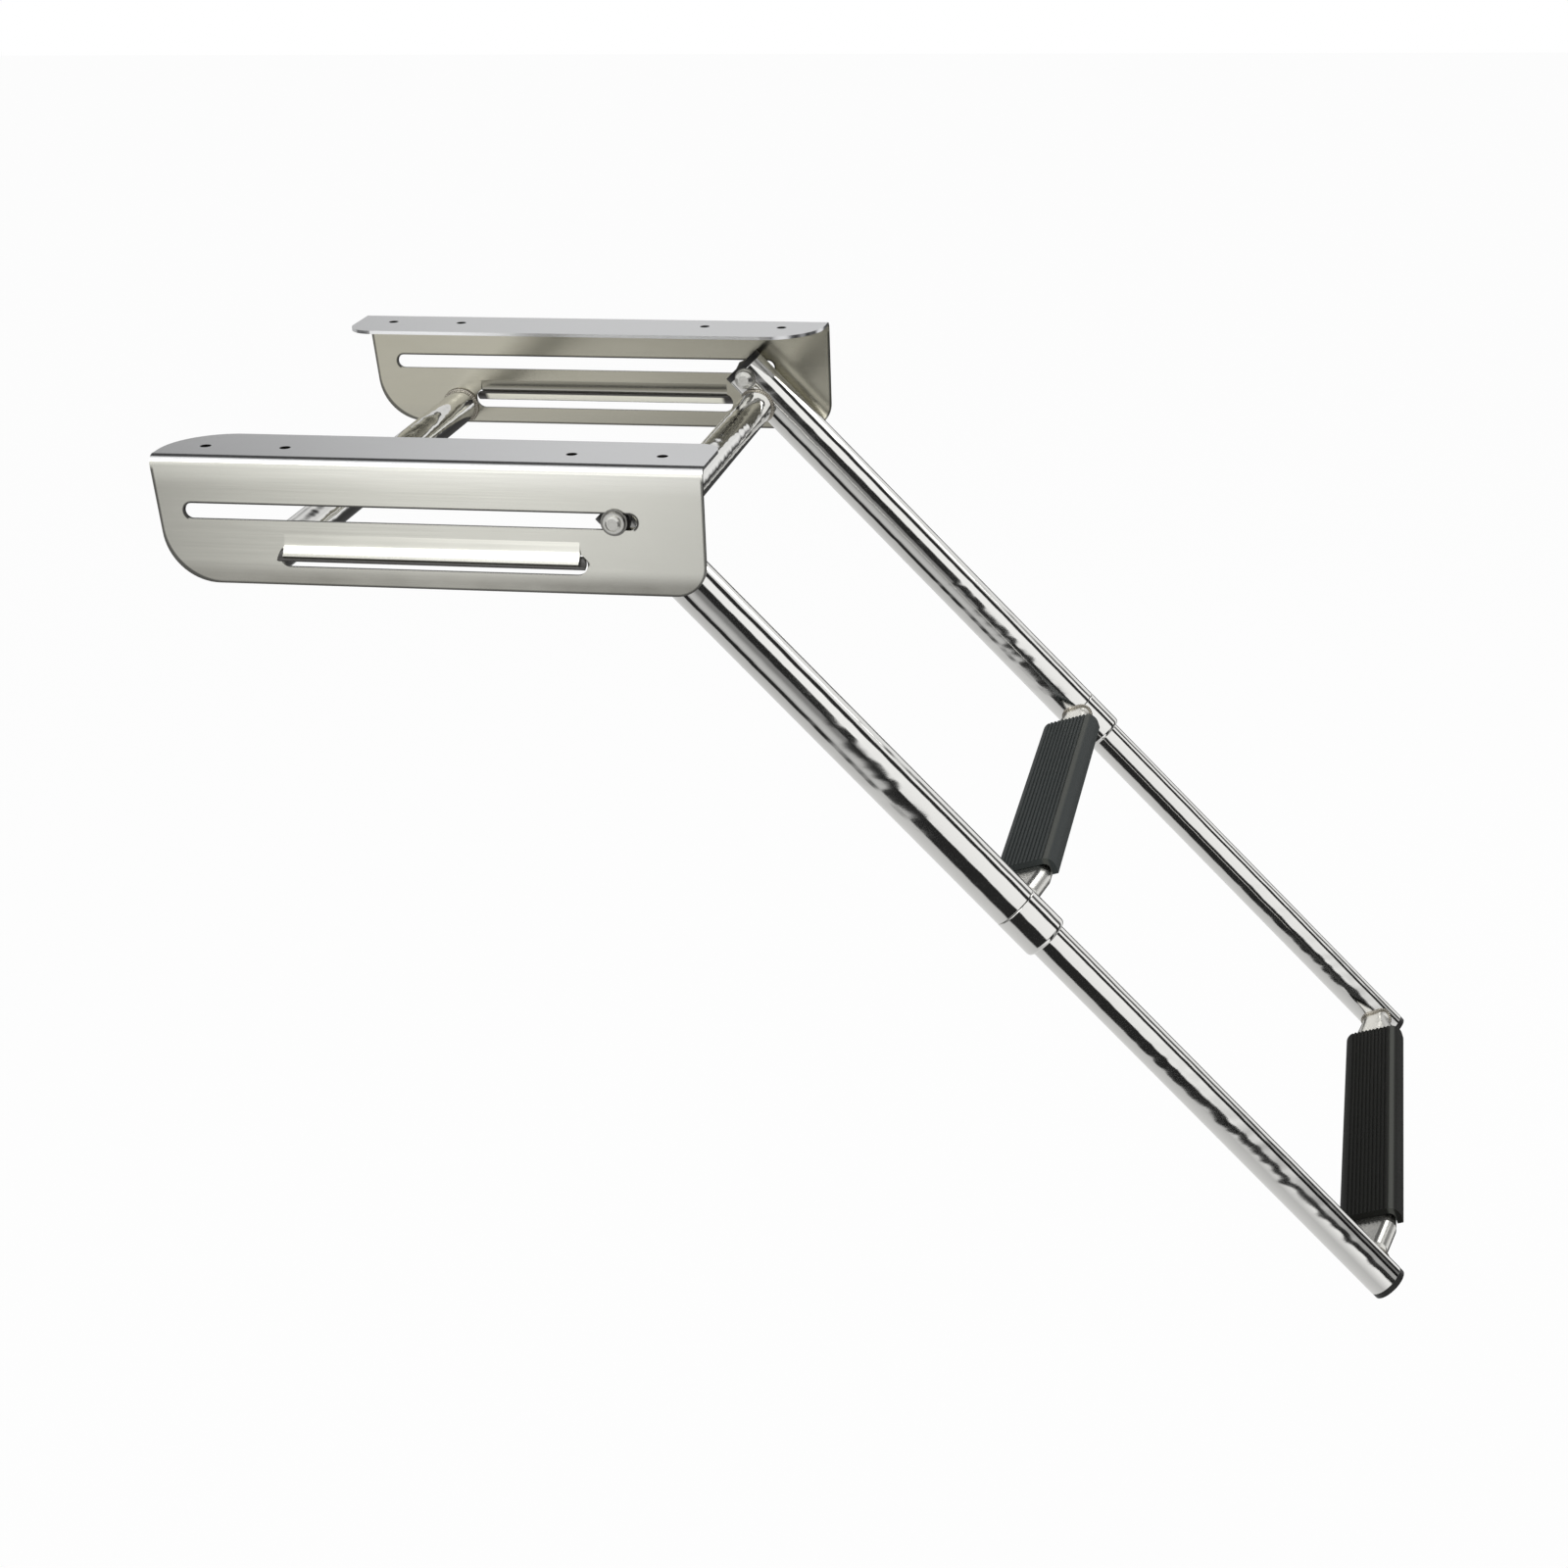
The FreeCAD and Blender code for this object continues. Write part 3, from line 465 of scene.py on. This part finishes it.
# Per tread its dull and worn tones: the upper pair is paler as painted light, the lower darker as
# painted shade.
TREAD_SHADES = {
    "upper": ((0.028, 0.032, 0.032), (0.044, 0.050, 0.049)),
    "lower": ((0.006, 0.006, 0.005), (0.014, 0.015, 0.013)),
}
for step_name, (dull, worn) in TREAD_SHADES.items():
    tread, start, shader = new_finish(step_name + "_moulded_tread", Metallic=0.0,
                                      Specular_IOR_Level=0.07)
    speck = cloud(place_of(start), 900.0, 2.0, 0.5)
    streak = cloud(place_of(start, turn=(0.0, TILT, 0.0), scale=(520.0, 5.0, 120.0)),
                   1.0, 3.0, 0.6)
    scuff = cloud(place_of(start, scale=(60.0, 9.0, 60.0)), 1.0, 4.0, 0.6)
    centre = (PIVOT + ALONG * STEP_RUNS[step_name]) @ DEEP
    deep = place_of(start).along(DEEP) - float(centre)
    # Painted highlight: a paler stripe along the nosing's rounding.
    nosing_highlight = deep.step(0.0125, 0.0150) * (1.0 - deep.step(0.0165, 0.0185))
    wear = (streak - 0.5) * 0.5 + (scuff - 0.5) * 0.5 + 0.4
    feed(shader, start,
         Base_Color=(nosing_highlight * 0.8).blend(wear.blend(dull, worn), (0.075, 0.078, 0.070)),
         Roughness=(speck - 0.5) * 0.2 + (scuff - 0.5) * 0.15 + 0.50,
         Normal=relief(speck, 0.00004))
    dress(tread, step_name + "_tread")


# Plugs, bushings and guide rings. Black plastic: domed plugs press into the tube ends, and the
# bushings and rings keep the metal parts from rubbing.

plug, start, shader = new_finish("black_plug", Metallic=0.0, Specular_IOR_Level=0.3)
dust = cloud(place_of(start), 240.0, 3.0, 0.55)
feed(shader, start,
     Base_Color=dust.blend((0.007, 0.007, 0.007), (0.022, 0.022, 0.021)),
     Roughness=(dust - 0.5) * 0.2 + 0.36,
     Normal=relief(dust, 0.00003))

# Run and radius of each corner down the tube from the pivot, and its easing, in metres.
PLUG_SHAPES = {
    "top_plug": [(-0.0115, 0.0, 0.0), (-0.0115, OUTER, 0.0042), (-0.0050, 0.0159, 0.0003),
                 (-0.0050, 0.0150, 0.0002), (0.0, 0.0142, 0.0002), (0.0, 0.0, 0.0)],
    "foot_plug": [(0.7193, 0.0, 0.0), (0.7193, 0.0126, 0.0026), (0.7141, 0.0126, 0.0003),
                  (0.7141, 0.0120, 0.0002), (0.700, 0.0111, 0.0002), (0.700, 0.0, 0.0)],
}
for side, inward, axis_at in SIDES:
    for kind, corners in PLUG_SHAPES.items():
        body = "upper_ladder" if kind == "top_plug" else "lower_ladder"
        profile = rounded(corners[1:-1], 7)[:-1]
        profile = np.vstack([[corners[0][:2]], profile, [corners[-1][:2]]])
        profile[[0, -1], 1] = 0.00002
        points = turned(profile, PIVOT + ACROSS * axis_at, ALONG)
        faces = grid_faces(len(profile), ROUND)
        if kind == "foot_plug":
            faces = faces[:, ::-1]
        piece = mesh_of("domed_%s_%s" % (side, kind), points, faces, body, plug)
        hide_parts("%s_%s" % (side, kind))
dress(plug, "near_guide_ring", "near_slot_bushing", "far_guide_ring", "far_slot_bushing")


# Slide strips. Milky nylon, moulded to the bend of each bracket's ledge and seated in its window,
# so that the stowed ladder slides on nylon. Their edges, ends and backs are painted black, a
# painted shade for the shadow in the gaps round the ledge.

WINDOW_REAR, WINDOW_FRONT = -0.0992, 0.1047
WINDOW_CORNER = 0.00695                      # the window's half height, which its ends round to
WINDOW_HEIGHT = 0.01475                      # its middle, below the bend's axis
BEND_AXIS, BEND_HEIGHT = 0.22708, -0.050     # the bend's axis, out from the middle, and its height

milky, start, shader = new_finish("milky_nylon", Metallic=0.0, Specular_IOR_Level=0.6)
point = place_of(start)
ahead, sideways, height = (point.part(axis) for axis in "XYZ")
mottle = cloud(place_of(start, scale=(30.0, 300.0, 300.0)), 1.0, 3.0, 0.6)
# Painted shade: black at the back, along the top and lower edges and at the ends; the milky part
# lies outside it.
from_axis = (abs(sideways - MIDDLE) - BEND_AXIS).distance(height - BEND_HEIGHT)
unshaded = from_axis.step(0.02115, 0.0214) * (1.0 - height.step(-0.0617, -0.0605))
unshaded = unshaded * (height + (mottle - 0.5) * 0.001).step(-0.0670, -0.0662)
unshaded = unshaded * (1.0 - abs(ahead - 0.0027).step(0.0920, 0.0960))
feed(shader, start,
     Base_Color=unshaded.blend((0.020, 0.018, 0.015), (0.80, 0.79, 0.68)),
     Roughness=(mottle - 0.5) * 0.2 + 0.34,
     Normal=relief(mottle, 0.00004))

# A point is (x, bend axis +- r cos t, bend height - r sin t), with t kept inside the rounded ends
# of the window. The inner row of points of each cross-section is at the smaller r.
x = WINDOW_CORNER * (1 - np.cos(np.linspace(0.05, math.pi / 2, 12)))
x = np.concatenate([x, [0.011, 0.014]])
x = np.concatenate([WINDOW_REAR + x, (WINDOW_FRONT - x)[::-1]])
short = np.maximum(WINDOW_CORNER - np.minimum(x - WINDOW_REAR, WINDOW_FRONT - x), 0.0)
chord = np.sqrt(WINDOW_CORNER ** 2 - short ** 2)
ROW = 6                                      # points in each of the two rows
for side, inward, axis_at in SIDES:
    rows = []
    for r, high, low in ((0.01960, 0.0095, 0.0161), (0.02155, 0.0099, 0.0171)):
        first = np.arcsin(np.maximum(high, WINDOW_HEIGHT - chord) / r)
        last = np.arcsin(np.minimum(low, WINDOW_HEIGHT + chord) / r)
        t = first[:, None] + (last - first)[:, None] * np.linspace(0.0, 1.0, ROW)[None, :]
        t = t[:, ::-1] if rows else t
        rows.append(np.stack([np.broadcast_to(x[:, None], t.shape),
                              MIDDLE - inward * BEND_AXIS + inward * r * np.cos(t),
                              BEND_HEIGHT - r * np.sin(t)], axis=-1))
    faces = grid_faces(len(x), 2 * ROW)
    ends = np.array([[j, j + 1, 2 * ROW - 2 - j, 2 * ROW - 1 - j] for j in range(ROW - 1)])
    faces = np.vstack([faces, ends[:, ::-1], ends + (len(x) - 1) * 2 * ROW])
    piece = mesh_of("curved_%s_slide_strip" % side, np.concatenate(rows, axis=1),
                    faces if inward < 0 else faces[:, ::-1], "brackets", milky)
    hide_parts(side + "_slide_strip")


# Pivot hardware. Plain stainless bolts, washers and nuts with the fine rings that turning
# leaves on their faces, and a dark line painted round the rim, a painted shade at the edge.

machined, start, shader = new_finish("turned_steel", Metallic=1.0)
rings = cloud(place_of(start, scale=(260.0, 1500.0, 260.0)), 1.0, 3.0, 0.6)
point = place_of(start)
reach = (point.part("X") - float(PIVOT[0])).distance(point.part("Z") - float(PIVOT[2]))
bright = rings.blend((0.58, 0.575, 0.54), (0.78, 0.775, 0.74))
feed(shader, start,
     # The dark line round the rim is painted shade.
     Base_Color=(reach.step(0.0060, 0.0074) * 0.75).blend(bright, (0.10, 0.097, 0.088)),
     Roughness=(rings - 0.5) * 0.2 + 0.24,
     Normal=relief(rings, 0.00004))
dress(machined, *[side + part for side in ("near_", "far_")
                  for part in ("pivot_bolt", "head_washer", "pivot_nut")])


# Studio: a pale floor well below the ladder, a white surround with long black flags that the
# polished tubes mirror as streaks, soft lamps, and the camera of the photograph.

floor_tone, start, shader = new_finish("studio_floor", Roughness=0.9,
                                       Base_Color=(0.86, 0.86, 0.86, 1.0))
seen = start.node("ShaderNodeLightPath", out="Is Camera Ray")
mirrored = start.node("ShaderNodeLightPath", out="Is Glossy Ray")
white = start.node("ShaderNodeEmission", {}, {0: (0.985, 0.985, 0.985, 1.0), 1: 1.0})
look = start.node("ShaderNodeMixShader", {}, {
    0: seen.at_least(mirrored) * 0.93, 1: Wire(start.tree, shader.outputs[0]), 2: white})
output = [n for n in start.tree.nodes if n.type == "OUTPUT_MATERIAL"][0]
start.tree.links.new(look.socket, output.inputs[0])
data = bpy.data.meshes.new("floor")
data.from_pydata([(-9, -9, -0.9), (9, -9, -0.9), (9, 9, -0.9), (-9, 9, -0.9)], [], [(0, 1, 2, 3)])
data.materials.append(floor_tone)
floor = bpy.data.objects.new("floor", data)
bpy.context.collection.objects.link(floor)
floor.visible_glossy = False

world = bpy.data.worlds.new("studio")
bpy.context.scene.world = world
world.use_nodes = True
tree = world.node_tree
tree.nodes.clear()
start = Wire(tree)
way = start.node("ShaderNodeTexCoord", out="Generated")


def grey_ramp(wire, stops):
    """The grey that the stops give at the wire, whose values and places run from -1 to 1."""
    stops = [((place + 1) / 2, (grey,) * 3) for place, grey in stops]
    return wire.node("ShaderNodeValToRGB", {"stops": stops}, {0: wire * 0.5 + 0.5})


# What shiny surfaces mirror, all by the ray's own way: white above and in front with a bright low
# reflector, a dark floor right below, and behind a pale sweep with a dark ceiling over it. One
# scale and one shift, here and for downhill below, fit the marks to where the camera stands.
across = way.part("X") * 0.89 - 0.015
rear, rising = way.part("Y"), way.part("Z")
peak = across.step(-0.45, -0.31) * (1.0 - across.step(-0.27, -0.12) * 0.65)
below = 1.0 - rising.step(-0.08, 0.08)
front_tone = (0.98 - below * (0.84 - peak * 1.22)) * (rising.step(-0.62, -0.46) * 0.94 + 0.06)
sweep = across.step(-0.42, -0.24) * 0.54 + 0.17
sweep = sweep + (0.64 - sweep) * (1.0 - rising.step(0.19, 0.26))
sweep = sweep * rising.step(0.03, 0.06) * (1.0 - rising.step(0.40, 0.47))
low_back = (1.0 - across.step(-0.30, -0.20)) * (1.0 - rising.step(-0.10, -0.05)) * 0.5
BACK_STOPS = [
    (-1.0, 0.20), (-0.50, 0.05), (-0.06, 0.04), (-0.03, 0.62), (0.03, 0.62), (0.06, 0.0),
    (0.40, 0.0), (0.48, 0.04), (0.92, 0.05), (1.0, 0.20),
]
back_tone = grey_ramp(rising, BACK_STOPS) + sweep + low_back
room = front_tone + (back_tone - front_tone) * rear.step(-0.06, 0.10)

# Long flags in line with the side tubes. spun is the angle about the tubes' line, from -1 behind
# through -0.5 above and 0 in front to 0.5 below; the widest flag drifts and widens down the
# tubes. The flags' hems are scalloped, which the tubes repeat about every 12 mm.
downhill = way.along(ALONG) * 0.884 + 0.009
scallop = (downhill * 1160.0).maths("SINE") * 0.6 + (downhill * 2030.0).maths("SINE") * 0.4
spun = way.along(SQUARE).maths("ARCTAN2", way.along((0.0, -1.0, 0.0))) * (-1 / math.pi)
spun = spun + scallop * 0.012
UPPER_FLAGS = [
    (-1.00, 0.04), (-0.945, 0.05), (-0.92, 0.80), (-0.60, 0.84), (-0.590, 0.02), (-0.480, 0.02),
    (-0.470, 0.97), (-0.26, 0.97), (-0.12, 0.20), (0.00, 0.24), (0.08, 0.48), (0.17, 0.56),
    (0.228, 0.36), (0.240, 0.02), (0.34, 0.02), (0.350, 0.50), (0.83, 0.70), (0.87, 0.06),
    (1.00, 0.04),
]
LOWER_FLAGS = [
    (-1.00, 0.04), (-0.945, 0.06), (-0.92, 0.86), (-0.77, 0.88), (-0.760, 0.10), (-0.675, 0.10),
    (-0.665, 0.97), (-0.590, 0.97), (-0.580, 0.02), (-0.485, 0.02), (-0.475, 0.95), (-0.10, 0.90),
    (0.17, 0.52), (0.40, 0.60), (0.83, 0.74), (0.87, 0.06), (1.00, 0.04),
]
upper_tone, lower_tone = grey_ramp(spun, UPPER_FLAGS), grey_ramp(spun, LOWER_FLAGS)
lower = downhill.step(0.118, 0.162)
foot = downhill.step(0.25, 0.35)
high_edge = lower * 0.17 - foot * 0.24 - 0.275
low_edge = lower * (0.345 + scallop * 0.035) - foot * 0.43 - 0.095
flag = (spun - high_edge).step(-0.012, 0.012) * (1.0 - (spun - low_edge).step(-0.015, 0.015))
from_rear = (spun + 0.78).step(-0.02, 0.04)
dusk = 1.0 - foot * 0.64 * from_rear * (1.0 - (spun + 0.20).step(-0.08, 0.04))
dusk = dusk * (1.0 - foot * 0.60 * from_rear * (1.0 - (spun + 0.50).step(-0.02, 0.02)))
flagged = (upper_tone + (lower_tone - upper_tone) * lower) * dusk
flagged = flagged + (0.02 - flagged) * flag
shade = room + (flagged - room) * downhill.step(-0.015, 0.028)
plain = start.node("ShaderNodeBackground", {}, {0: (1.0, 1.0, 1.0, 1.0), 1: 1.0})
flags = start.node("ShaderNodeBackground", {}, {0: shade, 1: 1.0})
glossy = start.node("ShaderNodeLightPath", out="Is Glossy Ray")
sky = start.node("ShaderNodeMixShader", {}, {0: glossy, 1: plain, 2: flags})
output = tree.nodes.new("ShaderNodeOutputWorld")
tree.links.new(sky.socket, output.inputs[0])

LAMP_AIM = Vector((0.2, 0.2, -0.2))
for name, where, size, power in (("key_lamp", (-0.6, -1.6, 1.6), 1.2, 14.0),
                                 ("rim_lamp", (1.2, 1.4, 1.2), 1.0, 8.0)):
    lamp = bpy.data.lights.new(name, "AREA")
    lamp.size = size
    lamp.energy = power
    holder = bpy.data.objects.new(name, lamp)
    bpy.context.collection.objects.link(holder)
    holder.location = where
    holder.rotation_euler = (LAMP_AIM - Vector(where)).to_track_quat("-Z", "Y").to_euler()

AZ, EL, ROLL = (math.radians(v) for v in (10.414, 19.469, -1.450))
CAMERA_PLACE = (0.589534, -1.673811, 0.461764)
FOCAL_PIXELS, PICTURE_PIXELS, SENSOR = 2891.272, 1600, 36.0
look_way = np.array([-math.sin(AZ) * math.cos(EL), math.cos(AZ) * math.cos(EL), -math.sin(EL)])
level = np.array([math.cos(AZ), math.sin(AZ), 0.0])
rise = np.cross(level, look_way)
right = math.cos(ROLL) * level + math.sin(ROLL) * rise
top = -math.sin(ROLL) * level + math.cos(ROLL) * rise
lens = bpy.data.cameras.new("camera")
lens.sensor_width = SENSOR
lens.lens = FOCAL_PIXELS / PICTURE_PIXELS * SENSOR
lens.shift_x = -0.0583
lens.shift_y = -0.0713
lens.clip_end = 60.0
camera = bpy.data.objects.new("camera", lens)
bpy.context.collection.objects.link(camera)
turn_and_place = np.column_stack([right, top, -look_way, CAMERA_PLACE])
camera.matrix_world = Matrix(turn_and_place.tolist() + [[0.0, 0.0, 0.0, 1.0]])
bpy.context.scene.camera = camera
bpy.context.scene.view_settings.view_transform = "Standard"
